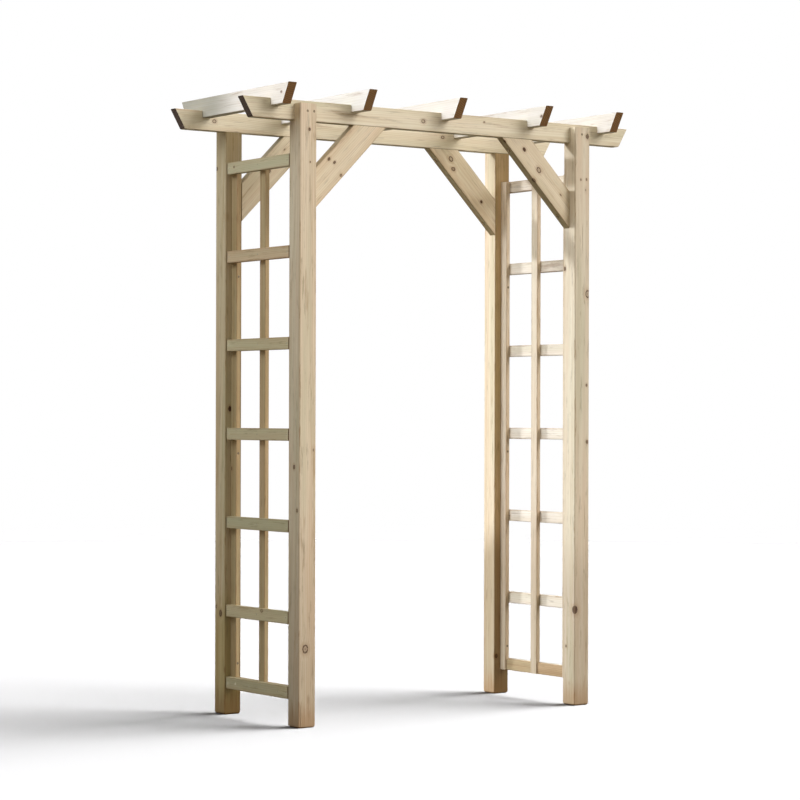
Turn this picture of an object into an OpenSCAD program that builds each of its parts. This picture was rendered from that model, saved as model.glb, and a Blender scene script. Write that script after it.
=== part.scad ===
/* [Frame] */
// Width over the outside of the posts
arch_w = 1320; // [1150:10:1600]
// Depth over the outside of the posts
arch_d = 570; // [480:10:700]
// Height of the shoulders that the rails sit on
shoulder_h = 2145; // [2050:5:2300]

/* [Posts] */
// Side of the square posts
post_s = 70; // [62:1:90]
// Radius of the eased long edges of the posts
post_ease = 4; // [1:0.5:7]
// Drop from the top of the rails to the top of the post tongues
tongue_drop = 13; // [2:1:24]

/* [Rails and rafters] */
// Thickness of the rails, and of the braces under them
rail_t = 35; // [30:1:42]
// Height of the rails
rail_h = 72; // [64:1:95]
// Reach of the rails past the outside of the posts
rail_over = 215; // [160:5:280]
// Thickness of the rafters
rafter_t = 35; // [28:1:45]
// Height of the rafters
rafter_h = 72; // [64:1:95]
// Reach of the rafters past the outside of the posts
rafter_over = 80; // [50:5:140]
// Distance of the end rafters' centres from the outside of the posts
rafter_out = 83; // [60:1:110]
// Distance of the second and fourth rafters' centres from the inside of the posts
rafter_in = 189; // [165:1:200]
// Depth of the halvings in the top of the rails
rail_notch = 14; // [8:1:22]
// Depth of the halvings in the underside of the rafters
rafter_notch = 13; // [8:1:22]
// Play on each side of a halving
notch_play = 0.5; // [0.2:0.1:0.8]
// Distance that the rail ends are cut back at the bottom
rail_back = 42; // [20:1:60]
// Radius of the rails' lower end corners
rail_nose = 10; // [3:1:16]
// Distance that the rafter ends are cut back at the bottom
rafter_back = 41; // [20:1:60]
// Radius of the rafters' lower end corners
rafter_nose = 3; // [2:0.5:8]
// Radius of the eased long edges of rails, rafters and braces
board_ease = 3; // [1:0.5:5]

/* [Braces] */
// Reach of the braces' lower edge along post and rail
brace_reach = 325; // [265:5:380]
// Width of the braces, measured square to their length
brace_w = 100; // [80:1:115]

/* [Trellis sides] */
// Height of the trellis foot above the ground
panel_foot = 97; // [40:1:150]
// Drop from the shoulders to the top of the trellis
panel_drop = 114; // [60:1:180]
// Setback of the rungs from the outside of the posts
panel_inset = 3; // [0:0.5:6]
// Thickness of the rungs
rung_t = 22; // [20:1:26]
// Height of the rungs
rung_h = 44; // [36:1:52]
// Spacing of the rungs, counted down from the top
rung_pitch = 325; // [300:1:340]
// Gap between a rung's end and the post
rung_play = 7; // [1:0.5:12]
// Thickness of the slats
slat_t = 17; // [14:1:24]
// Width of the slats
slat_w = 38; // [32:1:46]
// Thickness of the blocks behind the bottom rung
block_t = 13; // [12:1:14]
// Gap at each end of a block
block_play = 0.8; // [0.3:0.1:0.9]
// Radius of the eased long edges of rungs, slats and blocks
lath_ease = 2; // [0.5:0.5:4]

/* [Fasteners] */
// Radius of the screw shanks
screw_r = 2.5; // [2:0.1:3]
// Radius of the screw heads
screw_head_r = 4.6; // [4.2:0.1:5.2]
// Height of the countersunk part of a screw head
screw_head_h = 3.6; // [3:0.1:4.5]
// Length of the screws that hold the tongues to the rails
tongue_screw_l = 60; // [50:1:64]
// Depth of the tongue screws below the top of the rails
tongue_screw_z = 40; // [32:1:48]
// Distance of the nearer tongue screw from the right edge of the post
tongue_screw_x = 11; // [9:1:14]
// Distance between the two tongue screws
tongue_screw_step = 27; // [18:1:34]
// Length of the screws that hold the rafters down
rafter_screw_l = 80; // [65:1:85]
// Depth of the bores for the rafter screw heads
rafter_bore = 18; // [10:1:24]
// Radius of the bores for sunk screw heads
bore_r = 6; // [5.6:0.2:7]
// Length of the screws that hold the braces
brace_screw_l = 65; // [55:1:70]
// Distance of the brace screws from the braces' lower corners
brace_screw_in = 45; // [40:1:60]
// Distance of the brace screw heads from the seat of the brace
brace_screw_seat = 30; // [24:1:32]
// Length of the screws that hold the end slats to the posts
slat_screw_l = 60; // [50:1:70]
// Distance of the slat screws from the nearest rung
slat_screw_z = 50; // [30:1:70]
// Radius of the nails
nail_r = 1.3; // [1:0.1:1.6]
// Radius of the nail heads
nail_head_r = 2.5; // [2.2:0.1:3.2]
// Thickness of the nail heads
nail_head_t = 1; // [0.6:0.1:1.5]
// Length of the nails
nail_l = 30; // [26:1:32]
// Distance of the block nails from the middle of a block
block_nail_dy = 45; // [20:1:48]
// Clearance round a screw or nail in its hole
hole_play = 0.15; // [0.1:0.05:0.3]

/* [Hidden] */
$fn = 48;
rail_top = shoulder_h + rail_h;
rail_y = arch_d / 2 - post_s + rail_t / 2;
rail_l = arch_w + 2 * rail_over;
halving_z = rail_top - rail_notch;
rafter_z = halving_z - rafter_notch;
rafter_l = arch_d + 2 * rafter_over;
tongue_top = rail_top - tongue_drop;
post_in = arch_w / 2 - post_s;
end_rafter_x = arch_w / 2 + rafter_out;
mid_rafter_x = post_in - rafter_in;
panel_d = arch_d - 2 * post_s;
panel_top = shoulder_h - panel_drop;
rung_x = arch_w / 2 - panel_inset - rung_t / 2;
slat_x = arch_w / 2 - panel_inset - rung_t - slat_t / 2;
slat_y = (panel_d - slat_w) / 2;
block_x = arch_w / 2 - panel_inset - rung_t - block_t / 2;
block_l = (panel_d - 3 * slat_w) / 2 - 2 * block_play;
block_y = (panel_d - slat_w) / 4;
screw_tip = 6;
nail_tip = 3;
hole_mouth = 1;
hole_end = 0.5;
// Straight rim of a screw head above its cone
screw_rim = 0.6;
RUNGS = 7;
FRONT = -1;
BACK = 1;
LEFT = -1;
RIGHT = 1;

// Rungs are counted from the top, and the last one closes the foot of the trellis
function rung_z(k) = k == RUNGS ? panel_foot : panel_top - rung_h - (k - 1) * rung_pitch;
function rafter_x(k) = [-end_rafter_x, -mid_rafter_x, 0, mid_rafter_x, end_rafter_x][k - 1];

// Cross section of a timber, w by h, with its corners eased
module eased(w, h, r) {
    square([w - 2 * r, h], center = true);
    square([w, h - 2 * r], center = true);
    for (x = [-1, 1], y = [-1, 1])
        translate([x * (w / 2 - r), y * (h / 2 - r)]) circle(r);
}

// Timber that runs along X, centred
module timber_x(l, w, h, r)
    rotate([90, 0, 90]) linear_extrude(l, center = true) eased(w, h, r);

// Timber that runs along Y, centred
module timber_y(l, w, h, r)
    rotate([90, 0, 0]) linear_extrude(l, center = true) eased(w, h, r);

// Side outline of a timber whose ends are cut back below, its lower corners rounded
module cut_back(l, h, back, r) {
    slope = atan2(h, back);
    run = r * tan(slope / 2);
    foot = l / 2 - back;
    polygon([
        [-l / 2, h], [-foot - run * cos(slope), run * sin(slope)], [-foot + run, 0],
        [foot - run, 0], [foot + run * cos(slope), run * sin(slope)], [l / 2, h]
    ]);
    for (s = [-1, 1]) translate([s * (foot - run), r]) circle(r);
}

// Fastener driven down from z = 0, with its clearance and the mouth above it
module driven(head_r, rim, head_h, r, l, tip, play, mouth)
    rotate_extrude() polygon([
        [0, mouth], [head_r + play, mouth], [head_r + play, -rim], [r + play, -head_h],
        [r + play, -(l - tip)], [0, -l]
    ]);

module screw(l)
    driven(screw_head_r, screw_rim, screw_head_h, screw_r, l, screw_tip, 0, 0);

// Hole for a screw whose head lies flush
module screw_hole(l)
    driven(screw_head_r, screw_rim, screw_head_h, screw_r, l + hole_end, screw_tip,
        hole_play, hole_mouth);

// Hole for a screw whose head lies sunk in a bore
module sunk_hole(l, bore_l) {
    screw_hole(l);
    cylinder(r = bore_r, h = bore_l);
}

module nail()
    driven(nail_head_r, nail_head_t, nail_head_t, nail_r, nail_l, nail_tip, 0, 0);

module nail_hole()
    driven(nail_head_r, nail_head_t, nail_head_t, nail_r, nail_l + hole_end, nail_tip,
        hole_play, hole_mouth);

// Places of the screws through a post's tongue, sx and sy being the post's side
module at_tongue_screws(sx, sy)
    for (i = [0, 1])
        translate([
            sx * (arch_w - post_s) / 2 + post_s / 2 - tongue_screw_x - i * tongue_screw_step,
            sy * arch_d / 2, rail_top - tongue_screw_z
        ])
            rotate([-90 * sy, 0, 0]) children();

// Places of the screws from a rafter into the rail on side sy
module at_rafter_screw(k, sy)
    translate([rafter_x(k), sy * rail_y, rafter_z + rafter_h - rafter_bore]) children();

// Place of the screw from a brace into its post
module at_brace_post_screw(sx, sy)
    translate([
        sx * (post_in - brace_screw_seat), sy * rail_y,
        shoulder_h - brace_reach + brace_screw_in
    ])
        rotate([0, -90 * sx, 0]) children();

// Place of the screw from a brace into its rail
module at_brace_rail_screw(sx, sy)
    translate([
        sx * (post_in - brace_reach + brace_screw_in), sy * rail_y,
        shoulder_h - brace_screw_seat
    ])
        rotate([180, 0, 0]) children();

// Places of the screws from an end slat into its post: two below rungs, one above the bottom rung
module at_slat_screws(sx, sy)
    for (z = [
        rung_z(2) - slat_screw_z, rung_z(4) - slat_screw_z,
        rung_z(RUNGS) + rung_h + slat_screw_z
    ])
        translate([sx * slat_x, sy * (panel_d / 2 - slat_w), z])
            rotate([90 * sy, 0, 0]) children();

// Place of the nail where rung k crosses the slat at place s
module at_crossing_nail(sx, s, k)
    translate([sx * (arch_w / 2 - panel_inset), s * slat_y, rung_z(k) + rung_h / 2])
        rotate([0, 90 * sx, 0]) children();

// Places of the nails through the bottom rung into the block on side sy
module at_block_nails(sx, sy)
    for (d = [-1, 1])
        translate([
            sx * (arch_w / 2 - panel_inset), sy * block_y + d * block_nail_dy,
            rung_z(RUNGS) + rung_h / 2
        ])
            rotate([0, 90 * sx, 0]) children();

// Square post, rebated at the top so that a tongue rises outside the rail
module post(sx, sy)
    color("burlywood")
    difference() {
        translate([sx * (arch_w - post_s) / 2, sy * (arch_d - post_s) / 2, 0])
            linear_extrude(tongue_top) eased(post_s, post_s, post_ease);
        translate([sx * (arch_w - post_s) / 2, sy * rail_y, shoulder_h + rail_h / 2])
            cube([2 * post_s, rail_t, rail_h], center = true);
        at_tongue_screws(sx, sy) screw_hole(tongue_screw_l);
        at_brace_post_screw(sx, sy) screw_hole(brace_screw_l);
        at_slat_screws(sx, sy) screw_hole(slat_screw_l);
    }

// Rail that sits in the rebates of two posts, with a halving for each rafter
module rail(sy)
    color("wheat")
    difference() {
        translate([0, sy * rail_y, shoulder_h])
            intersection() {
                translate([0, 0, rail_h / 2]) timber_x(rail_l, rail_t, rail_h, board_ease);
                rotate([90, 0, 0]) linear_extrude(2 * rail_t, center = true)
                    cut_back(rail_l, rail_h, rail_back, rail_nose);
            }
        for (k = [1:5]) {
            translate([rafter_x(k), sy * rail_y, rail_top])
                cube([rafter_t + 2 * notch_play, 2 * rail_t, 2 * rail_notch], center = true);
            at_rafter_screw(k, sy) screw_hole(rafter_screw_l);
        }
        for (sx = [LEFT, RIGHT]) {
            at_tongue_screws(sx, sy) screw_hole(tongue_screw_l);
            at_brace_rail_screw(sx, sy) screw_hole(brace_screw_l);
        }
    }

// Rafter halved over both rails
module rafter(k)
    color("antiquewhite")
    difference() {
        translate([rafter_x(k), 0, rafter_z])
            intersection() {
                translate([0, 0, rafter_h / 2])
                    timber_y(rafter_l, rafter_t, rafter_h, board_ease);
                rotate([90, 0, 90]) linear_extrude(2 * rafter_t, center = true)
                    cut_back(rafter_l, rafter_h, rafter_back, rafter_nose);
            }
        for (sy = [FRONT, BACK]) {
            translate([rafter_x(k), sy * rail_y, rafter_z])
                cube([2 * rafter_t, rail_t + 2 * notch_play, 2 * rafter_notch], center = true);
            at_rafter_screw(k, sy) sunk_hole(rafter_screw_l, rafter_bore + hole_mouth);
        }
    }

// Knee brace, mitred to its post and to the underside of its rail
module brace(sx, sy)
    color("tan")
    difference() {
        translate([sx * post_in, sy * rail_y, shoulder_h])
            rotate([0, 0, sx == LEFT ? 0 : 180])
                intersection() {
                    translate([brace_reach / 2, 0, -brace_reach / 2]) rotate([0, -45, 0])
                        translate([0, 0, brace_w / 2])
                            timber_x(2 * brace_reach, rail_t, brace_w, board_ease);
                    translate([0, -rail_t, -brace_reach])
                        cube([brace_reach, 2 * rail_t, brace_reach]);
                }
        at_brace_post_screw(sx, sy) sunk_hole(brace_screw_l, brace_reach / 2);
        at_brace_rail_screw(sx, sy) sunk_hole(brace_screw_l, brace_reach / 2);
    }

// Upright slat on the inner side of the rungs, s being its place from front to back
module slat(sx, s)
    color("burlywood")
    difference() {
        translate([sx * slat_x, s * slat_y, panel_foot])
            linear_extrude(panel_top - panel_foot) eased(slat_t, slat_w, lath_ease);
        for (k = [1:RUNGS]) at_crossing_nail(sx, s, k) nail_hole();
        if (s != 0) at_slat_screws(sx, s) screw_hole(slat_screw_l);
    }

// Level rung between the front and back posts
module rung(sx, k)
    color("tan")
    difference() {
        translate([sx * rung_x, 0, rung_z(k) + rung_h / 2])
            timber_y(panel_d - 2 * rung_play, rung_t, rung_h, lath_ease);
        for (s = [-1:1]) at_crossing_nail(sx, s, k) nail_hole();
        if (k == RUNGS) for (sy = [FRONT, BACK]) at_block_nails(sx, sy) nail_hole();
    }

// Block behind the bottom rung, between two slats
module block(sx, sy)
    color("peru")
    difference() {
        translate([sx * block_x, sy * block_y, panel_foot + rung_h / 2])
            timber_y(block_l, block_t, rung_h, lath_ease);
        at_block_nails(sx, sy) nail_hole();
    }

module tongue_screws()
    color("dimgray")
    for (sx = [LEFT, RIGHT], sy = [FRONT, BACK])
        at_tongue_screws(sx, sy) screw(tongue_screw_l);

module rafter_screws()
    color("dimgray")
    for (k = [1:5], sy = [FRONT, BACK]) at_rafter_screw(k, sy) screw(rafter_screw_l);

module brace_screws()
    color("dimgray")
    for (sx = [LEFT, RIGHT], sy = [FRONT, BACK]) {
        at_brace_post_screw(sx, sy) screw(brace_screw_l);
        at_brace_rail_screw(sx, sy) screw(brace_screw_l);
    }

module slat_screws()
    color("dimgray")
    for (sx = [LEFT, RIGHT], sy = [FRONT, BACK]) at_slat_screws(sx, sy) screw(slat_screw_l);

module trellis_nails()
    color("silver")
    for (sx = [LEFT, RIGHT]) {
        for (s = [-1:1], k = [1:RUNGS]) at_crossing_nail(sx, s, k) nail();
        for (sy = [FRONT, BACK]) at_block_nails(sx, sy) nail();
    }

post(LEFT, FRONT);  // post_front_left
post(RIGHT, FRONT);  // post_front_right
post(LEFT, BACK);  // post_back_left
post(RIGHT, BACK);  // post_back_right
rail(FRONT);  // rail_front
rail(BACK);  // rail_back
rafter(1);  // rafter_1
rafter(2);  // rafter_2
rafter(3);  // rafter_3
rafter(4);  // rafter_4
rafter(5);  // rafter_5
brace(LEFT, FRONT);  // brace_front_left
brace(RIGHT, FRONT);  // brace_front_right
brace(LEFT, BACK);  // brace_back_left
brace(RIGHT, BACK);  // brace_back_right
slat(LEFT, -1);  // slat_left_front
slat(LEFT, 0);  // slat_left_middle
slat(LEFT, 1);  // slat_left_back
slat(RIGHT, -1);  // slat_right_front
slat(RIGHT, 0);  // slat_right_middle
slat(RIGHT, 1);  // slat_right_back
rung(LEFT, 1);  // rung_left_1
rung(LEFT, 2);  // rung_left_2
rung(LEFT, 3);  // rung_left_3
rung(LEFT, 4);  // rung_left_4
rung(LEFT, 5);  // rung_left_5
rung(LEFT, 6);  // rung_left_6
rung(LEFT, 7);  // rung_left_7
rung(RIGHT, 1);  // rung_right_1
rung(RIGHT, 2);  // rung_right_2
rung(RIGHT, 3);  // rung_right_3
rung(RIGHT, 4);  // rung_right_4
rung(RIGHT, 5);  // rung_right_5
rung(RIGHT, 6);  // rung_right_6
rung(RIGHT, 7);  // rung_right_7
block(LEFT, FRONT);  // block_left_front
block(LEFT, BACK);  // block_left_back
block(RIGHT, FRONT);  // block_right_front
block(RIGHT, BACK);  // block_right_back
tongue_screws();
rafter_screws();
brace_screws();
slat_screws();
trellis_nails();
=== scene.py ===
"""Timber garden arch with trellis sides: grain, knots, checks and fixings, with camera and studio."""

import math
import random

import bmesh
import bpy
from bpy.props import FloatProperty, FloatVectorProperty, PointerProperty
from mathutils import Euler, Matrix, Vector


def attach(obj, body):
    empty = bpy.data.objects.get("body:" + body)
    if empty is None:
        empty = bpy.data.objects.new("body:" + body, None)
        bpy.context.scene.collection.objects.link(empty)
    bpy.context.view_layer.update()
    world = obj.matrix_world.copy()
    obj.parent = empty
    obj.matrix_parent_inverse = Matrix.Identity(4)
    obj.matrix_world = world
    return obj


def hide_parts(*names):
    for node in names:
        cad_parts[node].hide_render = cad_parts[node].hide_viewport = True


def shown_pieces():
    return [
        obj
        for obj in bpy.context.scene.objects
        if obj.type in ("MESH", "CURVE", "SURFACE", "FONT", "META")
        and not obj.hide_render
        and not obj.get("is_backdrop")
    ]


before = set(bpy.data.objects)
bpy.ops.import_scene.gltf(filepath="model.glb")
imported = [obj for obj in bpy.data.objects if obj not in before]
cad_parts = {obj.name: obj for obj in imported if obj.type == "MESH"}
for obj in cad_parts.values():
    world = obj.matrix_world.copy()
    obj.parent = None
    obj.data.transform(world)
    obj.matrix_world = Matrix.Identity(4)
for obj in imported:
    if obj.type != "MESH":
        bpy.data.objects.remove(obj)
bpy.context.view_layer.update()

bl_info = {
    "name": "Timber garden arch",
    "version": (1, 0, 0),
    "blender": (4, 5, 0),
    "location": "View3D > Sidebar > Arch",
    "description": "Timber, fixings and a studio for a garden arch with trellis sides",
    "category": "Object",
}

# Which way each kind of board runs: its own length turned from +X
ALONG_X = Euler((0, 0, 0))
ALONG_Y = Euler((0, 0, math.radians(90)))
ALONG_Z = Euler((0, math.radians(-90), 0))
RISING_RIGHT = Euler((0, math.radians(-45), 0))
RISING_LEFT = Euler((0, math.radians(-135), 0))

MERGE = 1e-5
FLAT_ANGLE = math.radians(0.5)
SMOOTH_ANGLE = math.radians(35)
CLEAR = (1.0, 1.0, 1.0)

# Knots that are seen on single boards: place in metres, radius, and how dark the heart is
KNOTS = {
    "post_front_left": [((-0.620, -0.285, 2.112), 0.0045, 0.9), ((-0.616, -0.285, 1.997), 0.003, 0.9),
                        ((-0.634, -0.285, 0.279), 0.0110, 0.45), ((-0.660, -0.251, 0.920), 0.006, 0.8),
                        ((-0.660, -0.270, 0.767), 0.005, 0.7)],
    "post_front_right": [((0.647, -0.285, 2.170), 0.007, 0.9), ((0.615, -0.285, 2.004), 0.003, 0.8),
                         ((0.643, -0.285, 2.006), 0.0035, 0.8), ((0.651, -0.285, 1.569), 0.011, 0.45),
                         ((0.647, -0.285, 1.221), 0.004, 0.8), ((0.652, -0.285, 1.004), 0.005, 0.8),
                         ((0.590, -0.222, 1.666), 0.006, 1.0), ((0.590, -0.284, 0.365), 0.011, 1.0),
                         ((0.590, -0.235, 0.224), 0.004, 0.9)],
    "post_back_left": [((-0.660, 0.277, 2.014), 0.005, 0.8), ((-0.640, 0.215, 1.126), 0.007, 1.0),
                       ((-0.660, 0.243, 0.372), 0.009, 0.85), ((-0.660, 0.272, 0.395), 0.005, 0.4)],
    "post_back_right": [((0.600, 0.215, 0.150), 0.006, 0.8)],
    "rail_front": [((-0.100, -0.250, 2.180), 0.006, 0.2), ((0.180, -0.250, 2.195), 0.003, 0.7)],
    "rail_back": [((-0.710, 0.215, 2.180), 0.006, 0.2), ((0.330, 0.215, 2.190), 0.006, 0.3)],
    "rafter_1": [((-0.760, -0.318, 2.231), 0.0035, 0.8), ((-0.760, 0.240, 2.205), 0.004, 0.6)],
    "rafter_4": [((0.383, -0.335, 2.224), 0.0045, 0.8)],
    "brace_front_left": [((-0.514, -0.250, 2.016), 0.005, 0.9), ((-0.489, -0.250, 2.004), 0.0045, 0.9),
                         ((-0.463, -0.250, 1.962), 0.004, 0.7)],
    "brace_front_right": [((0.278, -0.250, 2.130), 0.005, 1.0), ((0.370, -0.250, 2.106), 0.0065, 1.0),
                          ((0.440, -0.250, 2.033), 0.009, 0.55), ((0.415, -0.250, 1.990), 0.0075, 0.9)],
    "brace_back_left": [((-0.470, 0.215, 2.010), 0.005, 0.8)],
    "brace_back_right": [((0.370, 0.215, 2.108), 0.009, 0.5), ((0.382, 0.215, 2.071), 0.008, 0.7),
                         ((0.521, 0.215, 1.949), 0.005, 1.0)],
    "rung_left_1": [((-0.657, 0.163, 2.012), 0.003, 0.8)],
    "rung_left_6": [((-0.657, -0.035, 0.400), 0.006, 0.5)],
}

# Drying checks in the posts: middle of the split, and its length
CHECKS = {
    "post_front_left": [((-0.660, -0.262, 0.965), 0.20), ((-0.652, -0.285, 0.035), 0.11),
                        ((-0.618, -0.285, 1.905), 0.10)],
    "post_front_right": [((0.626, -0.285, 1.780), 0.12), ((0.638, -0.285, 0.700), 0.14)],
    "post_back_left": [((-0.660, 0.232, 1.880), 0.15), ((-0.625, 0.285, 1.200), 0.22)],
    "post_back_right": [((0.660, 0.250, 1.300), 0.20), ((0.590, 0.246, 0.820), 0.10)],
}

# Single boards that are lighter, darker, browner or greyer than their kind
CASTS = {
    "post_front_right": (0.91, 0.96, 1.0),
    "post_back_left": (0.87, 0.86, 0.77),
    "rafter_2": (1.06, 1.08, 1.12),
    "rung_left_1": (1.03, 1.03, 1.06),
    "rung_left_2": (1.06, 0.93, 0.93),
}

# Painted shade that darkens a board towards the ground: height that it starts at, height of its full
# strength, and its tint there
LOWER_SHADE = {
    "post_front_right": (0.74, 0.38, (0.76, 0.72, 0.69)),
    "post_back_right": (0.71, 0.54, (0.60, 0.57, 0.51)),
    "post_back_left": (0.52, 0.30, (0.80, 0.77, 0.58)),
    "post_front_left": (0.95, 0.05, (0.73, 0.72, 0.70)),
    "slat_right_front": (0.90, 0.45, (0.74, 0.71, 0.66)),
    "slat_right_middle": (0.90, 0.45, (0.74, 0.71, 0.66)),
    "slat_right_back": (0.90, 0.45, (0.74, 0.71, 0.66)),
}
# Every other board is a little darker towards the bottom
LOWER_DARKENING = (0.30, 0.00, (0.88, 0.87, 0.85))

# How quickly each pattern of the wood changes along and across a board
WANDER = (2.4, 11, 11)
FIBRE = (6, 260, 260)
STREAK = (0.7, 48, 48)
BAND = (1.3, 17, 17)
STAIN = (4, 44, 44)
PATCH = (9, 95, 95)
CRACK_LINE = (0.9, 34, 34)
CRACK_PLACE = (2.1, 16, 16)
PIN_KNOT = (8, 16, 16)
KNOT_EDGE = (130, 190, 190)

# Tints that the colour is multiplied by: greyed tops, painted shade on undersides and on narrow faces,
# painted shade on the back half of the first rafter, cut ends, and painted shade on the front faces of the
# back posts
TOP_TINT = (0.83, 0.83, 0.80, 1)
UNDERSIDE_SHADE = (0.52, 0.50, 0.40, 1)
NARROW_SHADE = (0.80, 0.75, 0.66, 1)
BACK_SHADE = (0.46, 0.465, 0.42, 1)
RAIL_CUT = (0.10, 0.07, 0.02)
RAFTER_CUT = (0.78, 0.69, 0.52)
POST_FRONT_SHADE = {"back_left": (0.82, 0.80, 0.76), "back_right": (0.90, 0.79, 0.60)}

# Directions that the lamps' light travels in, and where the panel lamp stands and points
KEY_WAY = (0.55, -0.62, -0.56)
GRAZE_WAY = (0.30, -0.78, -0.55)
SIDE_WAY = (0.80, -0.25, -0.50)
FILL_WAY = (-0.50, 0.75, -0.43)
STREAK_WAY = (-0.75, 0.27, -0.52)
PANEL_PLACE = (-3.0, -0.2, 3.6)
PANEL_TARGET = (-0.66, 0.0, 1.7)
PANEL_SIDE = 1.6

# Colours of the lamps, of the light from all round, and of the floor as seen and as it lights the boards
DAYLIGHT = (0.87, 0.91, 1.0)
COOL = (0.76, 0.88, 1.0)
SOFT = (1.0, 0.97, 1.0)
WARM = (1.0, 0.87, 0.60)
SKY = (1.0, 0.965, 0.93, 1)
SEEN_FLOOR = (0.245, 0.245, 0.248, 1)
DIM_FLOOR = (0.053, 0.042, 0.030, 1)
FLOOR_FADE = (10.0, 16.0)


def shade(red, green, blue):
    """A colour given in screen values of 0 to 255, as Blender's linear colour."""
    linear = []
    for value in (red, green, blue):
        v = value / 255
        linear.append(v / 12.92 if v <= 0.04045 else ((v + 0.055) / 1.055) ** 2.4)
    return (*linear, 1.0)


def colour(name, description, red, green, blue):
    """A colour property."""
    return FloatVectorProperty(name=name, description=description, subtype="COLOR", size=4, min=0, max=1,
                               default=shade(red, green, blue))


def length(name, description, default):
    """A length property, in metres."""
    return FloatProperty(name=name, description=description, default=default, min=0, unit="LENGTH",
                         precision=4)


def angle(name, description, default):
    """An angle of the camera, in degrees."""
    return FloatProperty(name=name, description=description + ", in degrees", default=default)


def strength(name, description, default, unit="NONE"):
    """How strong a lamp is."""
    return FloatProperty(name=name, description=description, default=default, min=0, unit=unit)


class ArchSizes(bpy.types.PropertyGroup):
    """Sizes of what is worked into the boards and fixings."""

    foot_ease: length("Foot ease", "Radius that the edge of a post's foot is rounded to", 0.009)
    check_width: length("Check width", "Width of a drying check at the surface", 0.0016)
    check_depth: length("Check depth", "Depth of a drying check", 0.007)
    recess_width: length("Recess width", "Reach of the cross recess over a screw head", 0.0056)
    recess_slot: length("Recess slot", "Width of one slot of the cross recess", 0.0011)
    recess_depth: length("Recess depth", "Depth of the cross recess", 0.0018)


class ArchColours(bpy.types.PropertyGroup):
    """The colours of the timber and of its fixings."""

    post_pale: colour("Post, pale", "Early wood of the posts", 225, 210, 182)
    post_deep: colour("Post, deep", "Late wood of the posts", 202, 178, 142)
    rail_pale: colour("Rail, pale", "Early wood of the rails", 233, 224, 197)
    rail_deep: colour("Rail, deep", "Late wood of the rails", 211, 195, 159)
    rafter_pale: colour("Rafter, pale", "Early wood of the rafters", 243, 238, 228)
    rafter_deep: colour("Rafter, deep", "Late wood of the rafters", 229, 221, 205)
    brace_pale: colour("Brace, pale", "Early wood of the braces", 226, 213, 184)
    brace_deep: colour("Brace, deep", "Late wood of the braces", 205, 183, 146)
    slat_pale: colour("Slat, pale", "Early wood of the right slats", 228, 216, 194)
    slat_deep: colour("Slat, deep", "Late wood of the right slats", 208, 187, 154)
    rung_pale: colour("Rung, pale", "Early wood of the right rungs", 231, 223, 207)
    rung_deep: colour("Rung, deep", "Late wood of the right rungs", 213, 199, 174)
    old_slat_pale: colour("Left slat, pale", "Early wood of the left slats, which are browner", 185, 165, 125)
    old_slat_deep: colour("Left slat, deep", "Late wood of the left slats", 161, 135, 92)
    old_rung_pale: colour("Left rung, pale", "Early wood of the left rungs, which are greener", 207, 196, 158)
    old_rung_deep: colour("Left rung, deep", "Late wood of the left rungs", 188, 170, 131)
    block_pale: colour("Block, pale", "Early wood of the blocks", 190, 164, 124)
    block_deep: colour("Block, deep", "Late wood of the blocks", 158, 126, 86)
    green: colour("Green", "Cast that the pressure treatment left", 186, 184, 148)
    blush: colour("Blush", "Pinkish heartwood", 218, 184, 150)
    brown: colour("Brown", "Resin and damp stains", 158, 122, 82)
    grime: colour("Grime", "Olive-brown soiling in the grain", 124, 104, 70)
    knot: colour("Knot", "Heart and rim of a knot", 82, 54, 34)
    knot_ring: colour("Knot ring", "Wood in and around a knot", 168, 132, 92)
    end_pale: colour("End, pale", "Early wood on the cut ends", 150, 118, 80)
    end_deep: colour("End, deep", "Late wood on the cut ends", 100, 72, 44)
    crack: colour("Crack", "Inside of a drying crack", 70, 54, 38)
    screw: colour("Screw", "Plated screws", 124, 110, 86)
    nail: colour("Nail", "Galvanised nails", 178, 166, 142)


class ArchStudio(bpy.types.PropertyGroup):
    """Camera, lamps and floor."""

    camera_place: FloatVectorProperty(name="Camera", description="Where the camera stands", unit="LENGTH",
                                      default=(-5.4989, -7.7149, 1.1015))
    heading: angle("Heading", "Turn of the camera from +Y towards +X", 35.363)
    pitch: angle("Pitch", "Tilt of the camera above level", 0.129)
    roll: angle("Roll", "Turn of the camera about its own axis", 0.15)
    lens: FloatProperty(name="Lens", description="Focal length on a 36 mm sensor", default=113.31,
                        unit="CAMERA")
    shift: FloatProperty(name="Shift", description="Upward shift of the view, as a share of its width",
                         default=0.0128)
    key: strength("Key", "The high lamp behind on the left", 3.2)
    graze: strength("Graze", "The same lamp's light along the right trellis", 4.4)
    side: strength("Side", "The broad lamp high on the left", 3.1)
    panel: strength("Panel", "The cool panel lamp over the left trellis", 42.0, "POWER")
    fill: strength("Fill", "The lamp in front on the right", 2.36)
    deep_fill: strength("Deep fill", "That lamp's light on the back posts", 0.4)
    streak: strength("Streak", "The low lamp that only reaches the floor", 21.4)
    sky: strength("Sky", "The light from all round", 0.45)
    floor_reach: length("Floor", "Half the width of the floor", 30.0)


# Building a material node by node


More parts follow.
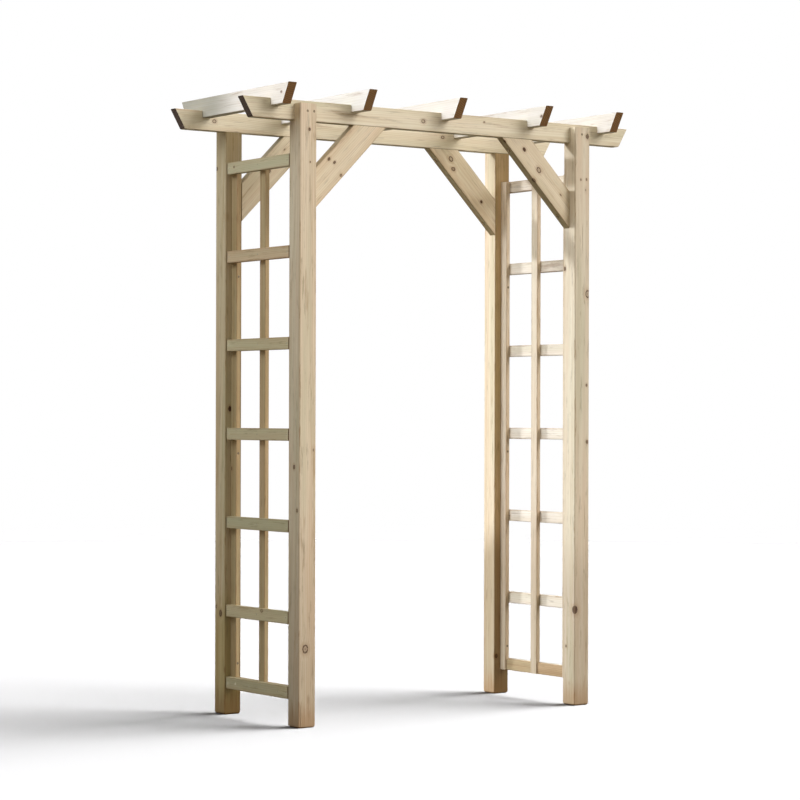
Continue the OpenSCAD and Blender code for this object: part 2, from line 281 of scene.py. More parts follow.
class Recipe:
    """A material that is built up node by node."""

    def __init__(self, name):
        self.material = bpy.data.materials.new(name)
        self.material.use_nodes = True
        self.nodes = self.material.node_tree.nodes
        self.links = self.material.node_tree.links
        self.nodes.clear()

    def put(self, socket, value):
        """Links a socket to another, or sets its value."""
        if isinstance(value, bpy.types.NodeSocket):
            self.links.new(value, socket)
        else:
            socket.default_value = value

    def add(self, kind, settings=None, **inputs):
        """A new node, with its settings and its inputs by name."""
        node = self.nodes.new("ShaderNode" + kind)
        for key, value in (settings or {}).items():
            setattr(node, key, value)
        for key, value in inputs.items():
            self.put(node.inputs[key.replace("_", " ")], value)
        return node

    def math(self, operation, *values):
        """The result of a sum on numbers."""
        node = self.add("Math", {"operation": operation})
        for socket, value in zip(node.inputs, values):
            self.put(socket, value)
        return node.outputs[0]

    def vector(self, operation, *values, out=0):
        """The result of a sum on vectors."""
        node = self.add("VectorMath", {"operation": operation})
        for socket, value in zip(node.inputs, values):
            self.put(socket, value)
        return node.outputs[out]

    def scaled(self, vector, factor):
        """A vector times a number."""
        return self.add("VectorMath", {"operation": "SCALE"}, Vector=vector, Scale=factor).outputs[0]

    def noise(self, vector, scales, detail, rough=0.5, out=0):
        """Noise over a vector that is scaled first: out 0 is its level, 1 its colour."""
        place = self.vector("MULTIPLY", vector, scales)
        return self.add("TexNoise", Vector=place, Scale=1.0, Detail=detail, Roughness=rough).outputs[out]

    def step(self, value, low, high):
        """0 below low, 1 above high and smooth between."""
        return self.add("MapRange", {"interpolation_type": "SMOOTHSTEP"}, Value=value, From_Min=low,
                        From_Max=high).outputs[0]

    def mix(self, factor, first, second, blend="MIX"):
        """Two colours mixed."""
        node = self.add("Mix", {"data_type": "RGBA", "blend_type": blend}, Factor=factor)
        self.put(node.inputs[6], first)
        self.put(node.inputs[7], second)
        return node.outputs[2]

    def finish(self, shader):
        """Wires a shader to the surface."""
        output = self.nodes.new("ShaderNodeOutputMaterial")
        self.links.new(shader, output.inputs["Surface"])
        return self.material


class Board:
    """A board of the frame in its own frame: X along it, with its middle, half sizes and growth rings."""

    RING = 0.0065
    TAPER = 1.1

    def __init__(self, node, turn):
        self.node = node
        self.turn = turn
        self.along = (turn.to_matrix() @ Vector((1, 0, 0))).normalized()
        back = turn.to_matrix().inverted()
        places = [back @ v.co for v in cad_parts[node].data.vertices]
        low = Vector(min(p[i] for p in places) for i in range(3))
        high = Vector(max(p[i] for p in places) for i in range(3))
        self.half = (high - low) / 2
        self.centre = turn.to_matrix() @ ((low + high) / 2)
        chance = random.Random(node)
        self.shift = tuple(chance.uniform(-9, 9) for _ in range(3))
        self.pith = (0, chance.uniform(-0.05, 0.05),
                     chance.choice((-1, 1)) * chance.uniform(0.03, 0.09))
        self.tone = chance.uniform(-0.035, 0.035)
        self.knots = [(back @ (Vector(place) - self.centre), radius, heart)
                      for place, radius, heart in KNOTS.get(node, ())]


# The wood


def seen_knots(recipe, board, own):
    """Bends the grain round the board's own knots: the bent place, and masks of hearts and halos."""
    bent, heart, halo = own, 0.0, 0.0
    uneven = recipe.noise(recipe.vector("ADD", own, board.shift), KNOT_EDGE, 3.0, 0.6)
    for centre, radius, dark in board.knots:
        away = recipe.vector("SUBTRACT", bent, tuple(centre))
        stretched = recipe.vector("MULTIPLY", away, (0.8 / radius, 1 / radius, 1 / radius))
        distance = recipe.vector("LENGTH", stretched, out=1)
        distance = recipe.math("MULTIPLY", distance, recipe.math("MULTIPLY_ADD", uneven, 0.7, 0.65))
        whole = recipe.math("MULTIPLY", recipe.step(uneven, 0.28, 0.44), 0.82 + 0.15 * dark)
        rim = recipe.math("MULTIPLY", recipe.step(distance, 1.25, 1.05), recipe.step(distance, 0.58, 0.82))
        rim = recipe.math("MULTIPLY", rim, whole)
        core = recipe.math("MULTIPLY", recipe.step(distance, 1.0, 0.7), dark * dark)
        eye = recipe.math("MULTIPLY", recipe.step(distance, 0.34, 0.12), 0.5 + 0.4 * dark)
        heart = recipe.math("MAXIMUM", recipe.math("MAXIMUM", heart, rim), recipe.math("MAXIMUM", core, eye))
        halo = recipe.math("MAXIMUM", halo, recipe.step(distance, 2.8, 1.0))
        near = recipe.step(distance, 4.0, 0.8)
        bent = recipe.vector("ADD", bent, recipe.scaled(away, recipe.math("MULTIPLY", near, -0.55)))
    return bent, heart, halo


def pin_knots(recipe, shifted):
    """Masks of the hearts and halos of small knots strewn through the wood."""
    spread = recipe.vector("MULTIPLY", shifted, PIN_KNOT)
    cell = recipe.add("TexVoronoi", {"feature": "F1"}, Vector=spread, Scale=1.0)
    draw = recipe.add("SeparateXYZ", Vector=cell.outputs["Color"]).outputs
    chosen = recipe.math("GREATER_THAN", draw[0], 0.72)
    size = recipe.math("ADD", recipe.math("MULTIPLY", draw[1], 0.05), 0.035)
    distance = recipe.math("DIVIDE", cell.outputs["Distance"], size)
    heart = recipe.math("MULTIPLY", recipe.step(distance, 1.2, 0.7), chosen)
    halo = recipe.math("MULTIPLY", recipe.step(distance, 3.2, 1.0), chosen)
    return heart, halo


def growth_rings(recipe, board, bent):
    """The rings about the pith: 0 in early wood, 1 in late wood."""
    across = recipe.vector("MULTIPLY", recipe.vector("SUBTRACT", bent, board.pith), (0, 1, 1))
    reach = recipe.vector("LENGTH", across, out=1)
    along = recipe.add("SeparateXYZ", Vector=bent).outputs[0]
    turns = recipe.math("SUBTRACT", recipe.math("DIVIDE", reach, Board.RING),
                        recipe.math("MULTIPLY", along, Board.TAPER))
    return recipe.step(recipe.math("SINE", recipe.math("MULTIPLY", turns, math.tau)), -0.6, 1.3)


def arris_mask(recipe, board, own):
    """1 on the board's long edges, 0 on its faces."""
    sides = recipe.add("SeparateXYZ", Vector=recipe.vector("ABSOLUTE", own)).outputs
    near = [recipe.step(sides[i], board.half[i] - 0.007, board.half[i] - 0.001) for i in (1, 2)]
    return recipe.math("MINIMUM", *near)


def narrow_mask(recipe, board, own):
    """1 on the narrow faces of a flat board, 0 on its wide ones."""
    sides = recipe.add("SeparateXYZ", Vector=recipe.vector("ABSOLUTE", own)).outputs
    wide = 1 if board.half[1] > board.half[2] else 2
    return recipe.step(sides[wide], board.half[wide] - 0.0022, board.half[wide] - 0.0008)


def timber(board, pale, deep, green=0.35, blush=0.3, narrow=0.0, grime=0.3, cut_tone=CLEAR,
           front_tone=CLEAR, back_grey=0.0):
    """Softwood with rings, fibres, knots, cracks, a treated cast, weathered tops and darker cut ends, with
    painted shade on undersides, narrow faces, arrises and low parts.
    """
    colours = bpy.context.scene.arch_colours
    recipe = Recipe(board.node)
    place = recipe.add("TexCoord")
    own = recipe.add("Mapping", {"vector_type": "TEXTURE"}, Vector=place.outputs["Object"],
                     Location=board.centre, Rotation=board.turn).outputs[0]
    wander = recipe.noise(recipe.vector("ADD", own, board.shift), WANDER, 2.0, out=1)
    wander = recipe.vector("MULTIPLY", recipe.vector("SUBTRACT", wander, (0.5, 0.5, 0.5)), (0, 0.014, 0.014))
    bent, heart, halo = seen_knots(recipe, board, recipe.vector("ADD", own, wander))
    shifted = recipe.vector("ADD", bent, board.shift)
    pin_heart, pin_halo = pin_knots(recipe, shifted)

    # Grain along the board: rings, streaks and fine fibres
    ring = growth_rings(recipe, board, bent)
    fibre = recipe.noise(shifted, FIBRE, 4.0, 0.65)
    streak = recipe.noise(shifted, STREAK, 3.0, 0.55)
    depth = recipe.math("ADD", recipe.math("MULTIPLY", ring, 0.34),
                        recipe.math("MULTIPLY", recipe.step(streak, 0.32, 0.70), 0.5))
    depth = recipe.math("ADD", depth, recipe.math("MULTIPLY", recipe.math("SUBTRACT", fibre, 0.5), 0.9))
    depth = recipe.math("MINIMUM", recipe.math("MAXIMUM", depth, 0.0), 1.0)
    wood = recipe.mix(depth, tuple(pale), tuple(deep))

    # Casts that change slowly along the board
    band = recipe.noise(shifted, BAND, 2.0, 0.5)
    stain = recipe.noise(shifted, STAIN, 4.0, 0.6)
    patch = recipe.noise(shifted, PATCH, 5.0, 0.68)
    for level, low, high, share, cast in ((band, 0.47, 0.70, green, colours.green),
                                          (band, 0.48, 0.28, blush, colours.blush),
                                          (stain, 0.60, 0.74, 0.5, colours.brown),
                                          (patch, 0.54, 0.70, grime, colours.grime)):
        wood = recipe.mix(recipe.math("MULTIPLY", recipe.step(level, low, high), share), wood, tuple(cast))

    # Thin drying cracks that follow the fibres
    line = recipe.noise(shifted, CRACK_LINE, 1.0)
    line = recipe.step(recipe.math("ABSOLUTE", recipe.math("SUBTRACT", line, 0.5)), 0.008, 0.002)
    sparse = recipe.noise(shifted, CRACK_PLACE, 1.0)
    line = recipe.math("MULTIPLY", line, recipe.step(sparse, 0.62, 0.72))
    wood = recipe.mix(recipe.math("MULTIPLY", line, 0.3), wood, tuple(colours.crack))

    halo = recipe.math("MAXIMUM", halo, recipe.math("MULTIPLY", pin_halo, 0.7))
    heart = recipe.math("MAXIMUM", heart, recipe.math("MULTIPLY", pin_heart, 0.75))
    wood = recipe.mix(recipe.math("MULTIPLY", halo, 0.36), wood, tuple(colours.knot_ring))
    wood = recipe.mix(heart, wood, tuple(colours.knot))

    # Narrow sawn faces get painted shade, and worn arrises are paler in places; the arrises are darker with
    # grime in places and with a painted shade line all along
    if narrow:
        wood = recipe.mix(recipe.math("MULTIPLY", narrow_mask(recipe, board, own), narrow), wood,
                          NARROW_SHADE, blend="MULTIPLY")
    arris = arris_mask(recipe, board, own)
    worn = recipe.math("MULTIPLY", arris, recipe.step(stain, 0.55, 0.38))
    wood = recipe.mix(recipe.math("MULTIPLY", worn, 0.25), wood, tuple(pale))
    # Grime in patches along the arrises, and a painted shade line all along them
    edge_grime_and_shade = recipe.math("MULTIPLY", arris, recipe.math("MAXIMUM", recipe.step(patch, 0.48, 0.62), 0.45))
    wood = recipe.mix(recipe.math("MULTIPLY", edge_grime_and_shade, min(1.0, 1.6 * grime)), wood, tuple(colours.brown))

    # Rain greys the tops; painted shade darkens the undersides, the front faces of the back posts and the
    # back half of the first rafter; and boards darken towards the ground
    facing = recipe.add("SeparateXYZ", Vector=place.outputs["Normal"]).outputs
    at = recipe.add("SeparateXYZ", Vector=place.outputs["Object"]).outputs
    wood = recipe.mix(recipe.step(facing[2], 0.4, 0.9), wood, TOP_TINT, blend="MULTIPLY")
    wood = recipe.mix(recipe.step(facing[2], -0.35, -0.65), wood, UNDERSIDE_SHADE, blend="MULTIPLY")
    # Towards the ground the darkening is painted shade on the listed boards, and a slight darkening towards
    # the bottom on the rest
    start, full, damp = LOWER_SHADE.get(board.node, LOWER_DARKENING)
    ragged = recipe.math("ADD", at[2], recipe.math("MULTIPLY", recipe.math("SUBTRACT", streak, 0.5), 0.25))
    wood = recipe.mix(recipe.step(ragged, start, full), wood, (*damp, 1), blend="MULTIPLY")
    # Painted shade on the front faces of the back posts
    wood = recipe.mix(recipe.step(facing[1], -0.5, -0.9), wood, (*front_tone, 1), blend="MULTIPLY")
    # Painted shade over the back half of the first rafter
    if back_grey:
        wood = recipe.mix(recipe.math("MULTIPLY", recipe.step(at[1], -0.08, 0.16), back_grey), wood,
                          BACK_SHADE, blend="MULTIPLY")
    tide = recipe.math("ADD", at[2], recipe.math("MULTIPLY", patch, -0.14))
    soaked = recipe.math("MULTIPLY", recipe.step(tide, 0.05, -0.06), 0.65)
    wood = recipe.mix(soaked, wood, tuple(colours.brown))

    # Cut ends are darker and show the rings
    end = recipe.vector("DOT_PRODUCT", place.outputs["Normal"], tuple(board.along), out=1)
    end = recipe.math("ABSOLUTE", end)
    grain = recipe.math("ADD", recipe.math("MULTIPLY", ring, 0.6), recipe.math("MULTIPLY", fibre, 0.4))
    cut = recipe.mix(grain, tuple(colours.end_pale), tuple(colours.end_deep))
    cut = recipe.mix(1.0, cut, (*cut_tone, 1), blend="MULTIPLY")
    wood = recipe.mix(recipe.step(end, 0.45, 0.62), wood, cut)
    cast = [(1 + board.tone) * v for v in CASTS.get(board.node, CLEAR)]
    wood = recipe.mix(1.0, wood, (*cast, 1), blend="MULTIPLY")

    relief = recipe.math("ADD", recipe.math("MULTIPLY", fibre, 0.6), recipe.math("MULTIPLY", ring, -0.35))
    relief = recipe.math("SUBTRACT", relief, recipe.math("MULTIPLY", line, 0.9))
    relief = recipe.math("SUBTRACT", relief, recipe.math("MULTIPLY", heart, 0.5))
    bump = recipe.add("Bump", Strength=0.5, Distance=0.0005, Height=relief)
    roughness = recipe.math("ADD", recipe.math("MULTIPLY", fibre, 0.25), 0.58)
    surface = recipe.add("BsdfPrincipled", Base_Color=wood, Roughness=roughness, Normal=bump.outputs[0])
    surface.inputs["Specular IOR Level"].default_value = 0.25
    return recipe.finish(surface.outputs[0])


def plated(name, tint, rough, wear=0.45, metal=0.8):
    """Dull plated steel with specks of wear."""
    recipe = Recipe(name)
    place = recipe.add("TexCoord").outputs["Object"]
    speck = recipe.noise(place, (900, 900, 900), 3.0, 0.6)
    dark = tuple(v * wear for v in tint[:3]) + (1,)
    skin = recipe.mix(recipe.step(speck, 0.4, 0.7), tuple(tint), dark)
    roughness = recipe.math("ADD", recipe.math("MULTIPLY", speck, 0.3), rough)
    surface = recipe.add("BsdfPrincipled", Base_Color=skin, Roughness=roughness)
    surface.inputs["Metallic"].default_value = metal
    return recipe.finish(surface.outputs[0])


# Working on meshes


def select_only(piece):
    """Makes one object the only one selected, and the active one."""
    bpy.ops.object.select_all(action="DESELECT")
    piece.select_set(True)
    bpy.context.view_layer.objects.active = piece


def merged_copy(node, name):
    """A new object with a frame piece's shape, its loose triangles merged into whole faces."""
    piece = bpy.data.objects.new(name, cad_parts[node].data.copy())
    bpy.context.scene.collection.objects.link(piece)
    piece.data.name = name
    select_only(piece)
    bpy.ops.object.mode_set(mode="EDIT")
    bpy.ops.mesh.select_all(action="SELECT")
    bpy.ops.mesh.customdata_custom_splitnormals_clear()
    bpy.ops.mesh.remove_doubles(threshold=MERGE)
    bpy.ops.mesh.dissolve_limited(angle_limit=FLAT_ANGLE)
    bpy.ops.object.mode_set(mode="OBJECT")
    return piece


def ease_foot(piece, board, ease):
    """Rounds the edge of a post's foot: rings are cut close above it and drawn in."""
    bpy.ops.object.mode_set(mode="EDIT")
    for share in (1.0, 0.6, 0.3, 0.1):
        bpy.ops.mesh.select_all(action="SELECT")
        bpy.ops.mesh.bisect(plane_co=(0, 0, ease * share), plane_no=(0, 0, 1))
    bpy.ops.object.mode_set(mode="OBJECT")
    for v in piece.data.vertices:
        drop = 1 - v.co.z / ease
        if drop > 0:
            inward = ease * (1 - math.sqrt(max(0.0, 1 - drop * drop)))
            for i in (0, 1):
                v.co[i] = board.centre[i] + (v.co[i] - board.centre[i]) * (1 - inward / board.half[1])


def in_order(mesh):
    """Sorts a mesh's points, edges and faces by place, since the solver leaves their order open."""
    form = bmesh.new()
    form.from_mesh(mesh)
    for parts, way in ((form.verts, lambda v: tuple(v.co)),
                       (form.edges, lambda e: sorted(v.index for v in e.verts)),
                       (form.faces, lambda f: sorted(v.index for v in f.verts))):
        rank = {part: k for k, part in enumerate(sorted(parts, key=way))}
        parts.sort(key=lambda part: rank[part])
        parts.index_update()
    form.to_mesh(mesh)
    form.free()


def carve(piece, cutters):
    """Cuts other objects out of a piece, and clears them away."""
    for cutter in cutters:
        modifier = piece.modifiers.new("carve", "BOOLEAN")
        modifier.operation = "DIFFERENCE"
        modifier.solver = "EXACT"
        modifier.object = cutter
        select_only(piece)
        bpy.ops.object.modifier_apply(modifier=modifier.name)
        bpy.data.objects.remove(cutter)
    in_order(piece.data)


def split_needle(board, place, reach, sizes):
    """A slender upright lens, set half into the face of a post that the place lies on."""
    bpy.ops.object.select_all(action="DESELECT")
    bpy.ops.mesh.primitive_uv_sphere_add(segments=12, ring_count=10, radius=1, location=place)
    needle = bpy.context.active_object
    off = [abs(place[i] - board.centre[i]) for i in (0, 1)]
    deep, thin = (0, 1) if off[0] > off[1] else (1, 0)
    scale = [0, 0, reach / 2]
    scale[deep] = sizes.check_depth
    scale[thin] = sizes.check_width / 2
    bpy.ops.transform.resize(value=scale)
    bpy.ops.object.transform_apply(location=True, rotation=True, scale=True)
    return needle


def smooth(piece):
    """Smooth shading with crisp corners, and flat faces shaded flat."""
    select_only(piece)
    bpy.ops.object.shade_smooth_by_angle(angle=SMOOTH_ANGLE)
    modifier = piece.modifiers.new("even faces", "WEIGHTED_NORMAL")
    modifier.keep_sharp = True
    bpy.ops.object.modifier_apply(modifier=modifier.name)


def islands(mesh):
    """The places of the points of each loose part of a mesh."""
    links = {v.index: [] for v in mesh.vertices}
    for edge in mesh.edges:
        a, b = edge.vertices
        links[a].append(b)
        links[b].append(a)
    left, found = set(links), []
    while left:
        queue = [left.pop()]
        part = []
        while queue:
            index = queue.pop()
            part.append(mesh.vertices[index].co.copy())
            fresh = [other for other in links[index] if other in left]
            left.difference_update(fresh)
            queue.extend(fresh)
        found.append(part)
    return found


def head_of(part):
    """The middle of a fastener's head, and which way it faces."""
    low = Vector(min(p[i] for p in part) for i in range(3))
    high = Vector(max(p[i] for p in part) for i in range(3))
    middle = (low + high) / 2
    axis = max(range(3), key=lambda i: high[i] - low[i])
    at_low = sum(1 for p in part if p[axis] < low[axis] + 1e-4)
    at_high = sum(1 for p in part if p[axis] > high[axis] - 1e-4)
    facing = Vector((0, 0, 0))
    facing[axis] = 1 if at_high > at_low else -1
    middle[axis] = (high if facing[axis] > 0 else low)[axis]
    return middle, facing


def cross_recess(middle, facing, sizes, spin):
    """Two crossed wedges that stand in a screw head."""
    bpy.ops.object.select_all(action="DESELECT")
    bars = []
    for quarter in (0, 1):
        bpy.ops.mesh.primitive_cube_add(size=1)
        bar = bpy.context.active_object
        bar.scale = (sizes.recess_width, sizes.recess_slot, 2 * sizes.recess_depth)
        bar.rotation_mode = "QUATERNION"
        turn = facing.to_track_quat("Z", "Y") @ Euler((0, 0, spin + quarter * math.pi / 2)).to_quaternion()
        bar.rotation_quaternion = turn
        bar.location = middle
        bpy.ops.object.transform_apply(location=True, rotation=True, scale=True)
        bars.append(bar)
    return bars


# Dressing the boards


def dress(node, turn, pale, deep, **finish):
    """Gives a board of the frame its own timber."""
    material = timber(Board(node, turn), pale, deep, **finish)
    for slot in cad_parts[node].material_slots:
        slot.material = material


def dress_post(node, pale, deep, **finish):
    """A post with an eased foot and drying checks, in place of the frame's."""
    sizes = bpy.context.scene.arch_sizes
    board = Board(node, ALONG_Z)
    piece = merged_copy(node, node + "_timber")
    ease_foot(piece, board, sizes.foot_ease)
    carve(piece, [split_needle(board, place, reach, sizes) for place, reach in CHECKS[node]])
    smooth(piece)
    piece.data.materials.clear()
    piece.data.materials.append(timber(board, pale, deep, **finish))
    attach(piece, "root")
    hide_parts(node)
    return piece


def with_metal(node, material):
    """Gives the frame's own fixings their metal."""
    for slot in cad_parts[node].material_slots:
        slot.material = material


def recessed_screws(node, material):
    """The frame's screws with a cross recess in each head."""
    sizes = bpy.context.scene.arch_sizes
    piece = merged_copy(node, node + "_driven")
    chance = random.Random(node)
    cutters = []
    for part in islands(piece.data):
        middle, facing = head_of(part)
        cutters += cross_recess(middle, facing, sizes, chance.uniform(0, math.pi / 2))
    carve(piece, cutters)
    smooth(piece)
    piece.data.materials.clear()
    piece.data.materials.append(material)
    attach(piece, "root")
    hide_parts(node)
    return piece


# One operator for each kind of piece


class ARCH_OT_posts(bpy.types.Operator):
    """Eases the feet of the four posts, splits their faces and gives them their timber"""

    bl_idname = "arch.posts"
    bl_label = "Posts"

    def execute(self, context):
        colours = context.scene.arch_colours
        for side in ("front_left", "front_right", "back_left", "back_right"):
            # The back posts get painted shade on their front faces
            dress_post("post_" + side, colours.post_pale, colours.post_deep, grime=0.45,
                       front_tone=POST_FRONT_SHADE.get(side, CLEAR))
        return {"FINISHED"}


class ARCH_OT_rails(bpy.types.Operator):
    """Gives the two rails their timber"""

    bl_idname = "arch.rails"
    bl_label = "Rails"

    def execute(self, context):
        colours = context.scene.arch_colours
        for node, green, blush in (("rail_front", 0.45, 0.15), ("rail_back", 0.15, 0.55)):
            dress(node, ALONG_X, colours.rail_pale, colours.rail_deep, green=green, blush=blush,
                  cut_tone=RAIL_CUT)
        return {"FINISHED"}


class ARCH_OT_rafters(bpy.types.Operator):
    """Gives the five rafters their timber"""

    bl_idname = "arch.rafters"
    bl_label = "Rafters"

    def execute(self, context):
        colours = context.scene.arch_colours
        for k in range(1, 6):
            # The first rafter gets painted shade over its back half
            dress("rafter_%d" % k, ALONG_Y, colours.rafter_pale, colours.rafter_deep, green=0.2,
                  blush=0.03, grime=0.1, cut_tone=RAFTER_CUT, back_grey=1.0 if k == 1 else 0.0)
        return {"FINISHED"}


class ARCH_OT_braces(bpy.types.Operator):
    """Gives the four knee braces their timber"""

    bl_idname = "arch.braces"
    bl_label = "Braces"

    def execute(self, context):
        colours = context.scene.arch_colours
        for side, turn in (("left", RISING_RIGHT), ("right", RISING_LEFT)):
            for end in ("front", "back"):
                dress("brace_%s_%s" % (end, side), turn, colours.brace_pale, colours.brace_deep,
                      green=0.25, blush=0.25)
        return {"FINISHED"}


class ARCH_OT_slats(bpy.types.Operator):
    """Gives the upright slats of both trellis sides their timber"""

    bl_idname = "arch.slats"
    bl_label = "Slats"

    def execute(self, context):
        colours = context.scene.arch_colours
        for side, narrow, pale, deep in (("left", 0.25, colours.old_slat_pale, colours.old_slat_deep),
                                         ("right", 0.65, colours.slat_pale, colours.slat_deep)):
            for place in ("front", "middle", "back"):
                dress("slat_%s_%s" % (side, place), ALONG_Z, pale, deep, green=0.15, blush=0.3,
                      narrow=narrow, grime=0.4)
        return {"FINISHED"}


class ARCH_OT_rungs(bpy.types.Operator):
    """Gives the rungs of both trellis sides their timber"""

    bl_idname = "arch.rungs"
    bl_label = "Rungs"

    def execute(self, context):
        colours = context.scene.arch_colours
        for side, green, pale, deep in (("left", 0.6, colours.old_rung_pale, colours.old_rung_deep),
                                        ("right", 0.2, colours.rung_pale, colours.rung_deep)):
            for k in range(1, 8):
                dress("rung_%s_%d" % (side, k), ALONG_Y, pale, deep, green=green, blush=0.2, narrow=0.2,
                      grime=0.4)
        return {"FINISHED"}


class ARCH_OT_blocks(bpy.types.Operator):
    """Gives the blocks behind the bottom rungs their timber"""

    bl_idname = "arch.blocks"
    bl_label = "Blocks"

    def execute(self, context):
        colours = context.scene.arch_colours
        for side in ("left", "right"):
            for end in ("front", "back"):
                dress("block_%s_%s" % (side, end), ALONG_Y, colours.block_pale, colours.block_deep)
        return {"FINISHED"}


class ARCH_OT_fixings(bpy.types.Operator):
    """Cuts the recesses of the screws, and gives screws and nails their metal"""

    bl_idname = "arch.fixings"
    bl_label = "Fixings"

    def execute(self, context):
        colours = context.scene.arch_colours
        steel = plated("plated_screw", colours.screw, 0.4)
        for node in ("tongue_screws", "rafter_screws", "brace_screws", "slat_screws"):
            recessed_screws(node, steel)
        with_metal("trellis_nails", plated("galvanised_nail", colours.nail, 0.45, 0.75, 0.5))
        return {"FINISHED"}


# Camera, lamps and floor


def add_camera(studio):
    """The camera, level but for a hair's tilt and roll."""
    camera = bpy.data.objects.new("camera", bpy.data.cameras.new("camera"))
    bpy.context.scene.collection.objects.link(camera)
    camera.data.lens = studio.lens
    camera.data.sensor_width = 36.0
    camera.data.shift_y = studio.shift
    camera.data.clip_end = 100.0
    yaw, pitch, roll = (math.radians(v) for v in (studio.heading, studio.pitch, studio.roll))
    ahead = Vector((math.sin(yaw) * math.cos(pitch), math.cos(yaw) * math.cos(pitch), math.sin(pitch)))
    level = Vector((math.cos(yaw), -math.sin(yaw), 0))
    above = level.cross(ahead)
    right = math.cos(roll) * level + math.sin(roll) * above
    up = -math.sin(roll) * level + math.cos(roll) * above
    turn = Matrix((right, up, -ahead)).transposed()
    camera.matrix_world = Matrix.Translation(studio.camera_place) @ turn.to_4x4()
    bpy.context.scene.camera = camera


def add_sun(name, travel, strength, spread, warmth=CLEAR):
    """A far, soft lamp whose light travels along a direction."""
    lamp = bpy.data.objects.new(name, bpy.data.lights.new(name, "SUN"))
    bpy.context.scene.collection.objects.link(lamp)
    lamp.data.energy = strength
    lamp.data.angle = math.radians(spread)
    lamp.data.color = warmth
    lamp.rotation_mode = "QUATERNION"
    lamp.rotation_quaternion = Vector(travel).to_track_quat("-Z", "Y")
    lamp.location = -4 * Vector(travel).normalized() + Vector((0, 0, 1))
    return lamp


def add_panel_lamp(name, place, target, size, power, tint):
    """A square soft lamp that faces a target."""
    lamp = bpy.data.objects.new(name, bpy.data.lights.new(name, "AREA"))
    bpy.context.scene.collection.objects.link(lamp)
    lamp.data.energy = power
    lamp.data.size = size
    lamp.data.color = tint
    lamp.location = place
    lamp.rotation_mode = "QUATERNION"
    lamp.rotation_quaternion = (Vector(target) - Vector(place)).to_track_quat("-Z", "Y")
    return lamp


def only_for(lamp, pieces):
    """Lets a lamp reach only some objects."""
    group = bpy.data.collections.new(lamp.name + " reaches")
    for piece in pieces:
        group.objects.link(piece)
    lamp.light_linking.receiver_collection = group


def floor_surface():
    """White to the camera with the arch's shadow, clear far out, and dim warm ground to the boards."""
    recipe = Recipe("studio floor")
    path = recipe.add("LightPath").outputs
    seen = recipe.math("MAXIMUM", path["Is Camera Ray"],
                       recipe.math("MAXIMUM", path["Is Glossy Ray"], path["Is Transmission Ray"]))
    pale = recipe.add("BsdfDiffuse", Color=SEEN_FLOOR)
    dim = recipe.add("BsdfDiffuse", Color=DIM_FLOOR)
    reach = recipe.vector("LENGTH", recipe.add("TexCoord").outputs["Object"], out=1)
    faded = recipe.add("MixShader", Fac=recipe.step(reach, *FLOOR_FADE))
    recipe.links.new(pale.outputs[0], faded.inputs[1])
    recipe.links.new(recipe.add("BsdfTransparent").outputs[0], faded.inputs[2])
    mixed = recipe.add("MixShader", Fac=seen)
    recipe.links.new(dim.outputs[0], mixed.inputs[1])
    recipe.links.new(faded.outputs[0], mixed.inputs[2])
    return recipe.finish(mixed.outputs[0])


def add_floor(studio):
    """A wide plane under the feet."""
    bpy.ops.object.select_all(action="DESELECT")
    bpy.ops.mesh.primitive_plane_add(size=2 * studio.floor_reach, location=(0, 0, 0))
    floor = bpy.context.active_object
    floor.name = "studio_floor"
    floor.data.materials.append(floor_surface())
    floor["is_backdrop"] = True
    return floor


def add_world(studio):
    """White behind the arch, and an even soft light from all round."""
    world = bpy.data.worlds.new("studio")
    bpy.context.scene.world = world
    world.use_nodes = True
    nodes, links = world.node_tree.nodes, world.node_tree.links
    nodes.clear()
    path = nodes.new("ShaderNodeLightPath")
    either = nodes.new("ShaderNodeMath")
    either.operation = "MAXIMUM"
    seen = nodes.new("ShaderNodeMath")
    seen.operation = "MAXIMUM"
    links.new(path.outputs["Is Camera Ray"], either.inputs[0])
    links.new(path.outputs["Is Glossy Ray"], either.inputs[1])
    links.new(either.outputs[0], seen.inputs[0])
    links.new(path.outputs["Is Transmission Ray"], seen.inputs[1])
    white = nodes.new("ShaderNodeBackground")
    white.inputs["Strength"].default_value = 1.0
    white.inputs["Color"].default_value = (1, 1, 1, 1)
    soft = nodes.new("ShaderNodeBackground")
    soft.inputs["Color"].default_value = SKY
    soft.inputs["Strength"].default_value = studio.sky
    mixed = nodes.new("ShaderNodeMixShader")
    output = nodes.new("ShaderNodeOutputWorld")
    links.new(seen.outputs[0], mixed.inputs[0])
    links.new(soft.outputs[0], mixed.inputs[1])
    links.new(white.outputs[0], mixed.inputs[2])
    links.new(mixed.outputs[0], output.inputs["Surface"])


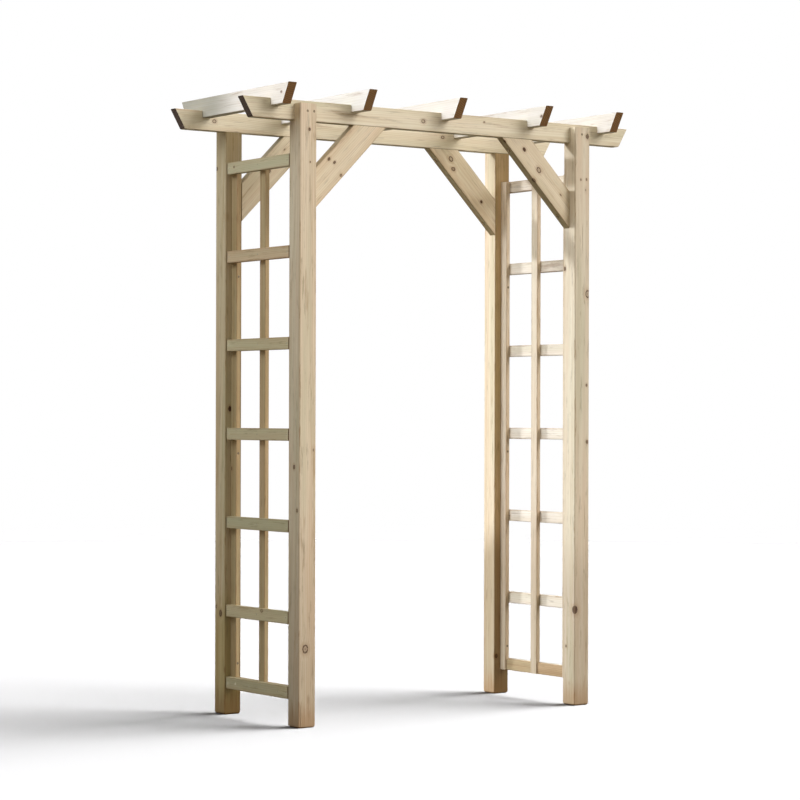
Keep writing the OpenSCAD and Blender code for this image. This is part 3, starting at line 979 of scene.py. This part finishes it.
class ARCH_OT_stage(bpy.types.Operator):
    """Sets the camera, the lamps and the pale floor"""

    bl_idname = "arch.stage"
    bl_label = "Stage"

    def execute(self, context):
        studio = context.scene.arch_studio
        context.scene.view_settings.view_transform = "Standard"
        # With the light tree, some runs lose a lamp on pieces that only some of the lamps reach
        context.scene.cycles.use_light_tree = False
        add_camera(studio)
        add_world(studio)
        floor = add_floor(studio)
        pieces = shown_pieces()
        trellis = ("slat_", "rung_", "block_", "trellis_", "slat_screws")
        grazed = [p for p in pieces if p.name.startswith(trellis) and "left" not in p.name]
        shaded = [p for p in pieces if "left" in p.name and not p.name.startswith("rafter")]
        lit = [p for p in pieces if p not in grazed and p not in shaded]
        deep = [p for p in pieces if p.name.startswith("post_back")]
        only_for(add_sun("key", KEY_WAY, studio.key, 3.0, DAYLIGHT),
                 [p for p in lit if not p.name.startswith("rafter_") or "screws" in p.name])
        only_for(add_sun("graze", GRAZE_WAY, studio.graze, 4.0, DAYLIGHT), grazed)
        only_for(add_sun("side", SIDE_WAY, studio.side, 50.0, DAYLIGHT), lit + grazed)
        only_for(add_panel_lamp("panel", PANEL_PLACE, PANEL_TARGET, PANEL_SIDE, studio.panel, COOL), shaded)
        only_for(add_sun("fill", FILL_WAY, studio.fill, 42.0, SOFT), [p for p in pieces if p not in deep])
        only_for(add_sun("deep fill", FILL_WAY, studio.deep_fill, 18.0, WARM), deep)
        only_for(add_sun("streak", STREAK_WAY, studio.streak, 55.0), [floor])
        return {"FINISHED"}


class ARCH_PT_panel(bpy.types.Panel):
    """Lists the steps that dress the arch"""

    bl_idname = "ARCH_PT_panel"
    bl_label = "Garden arch"
    bl_space_type = "VIEW_3D"
    bl_region_type = "UI"
    bl_category = "Arch"

    def draw(self, context):
        for step in STEPS:
            self.layout.operator(step.bl_idname)


STEPS = (ARCH_OT_posts, ARCH_OT_rails, ARCH_OT_rafters, ARCH_OT_braces, ARCH_OT_slats, ARCH_OT_rungs,
         ARCH_OT_blocks, ARCH_OT_fixings, ARCH_OT_stage)
GROUPS = {"arch_sizes": ArchSizes, "arch_colours": ArchColours, "arch_studio": ArchStudio}


def register():
    for cls in (*GROUPS.values(), *STEPS, ARCH_PT_panel):
        bpy.utils.register_class(cls)
    for name, cls in GROUPS.items():
        setattr(bpy.types.Scene, name, PointerProperty(type=cls))


def unregister():
    for name in GROUPS:
        delattr(bpy.types.Scene, name)
    for cls in reversed((*GROUPS.values(), *STEPS, ARCH_PT_panel)):
        bpy.utils.unregister_class(cls)


def main():
    register()
    bpy.ops.arch.posts()
    bpy.ops.arch.rails()
    bpy.ops.arch.rafters()
    bpy.ops.arch.braces()
    bpy.ops.arch.slats()
    bpy.ops.arch.rungs()
    bpy.ops.arch.blocks()
    bpy.ops.arch.fixings()
    bpy.ops.arch.stage()


if __name__ == "__main__":
    main()
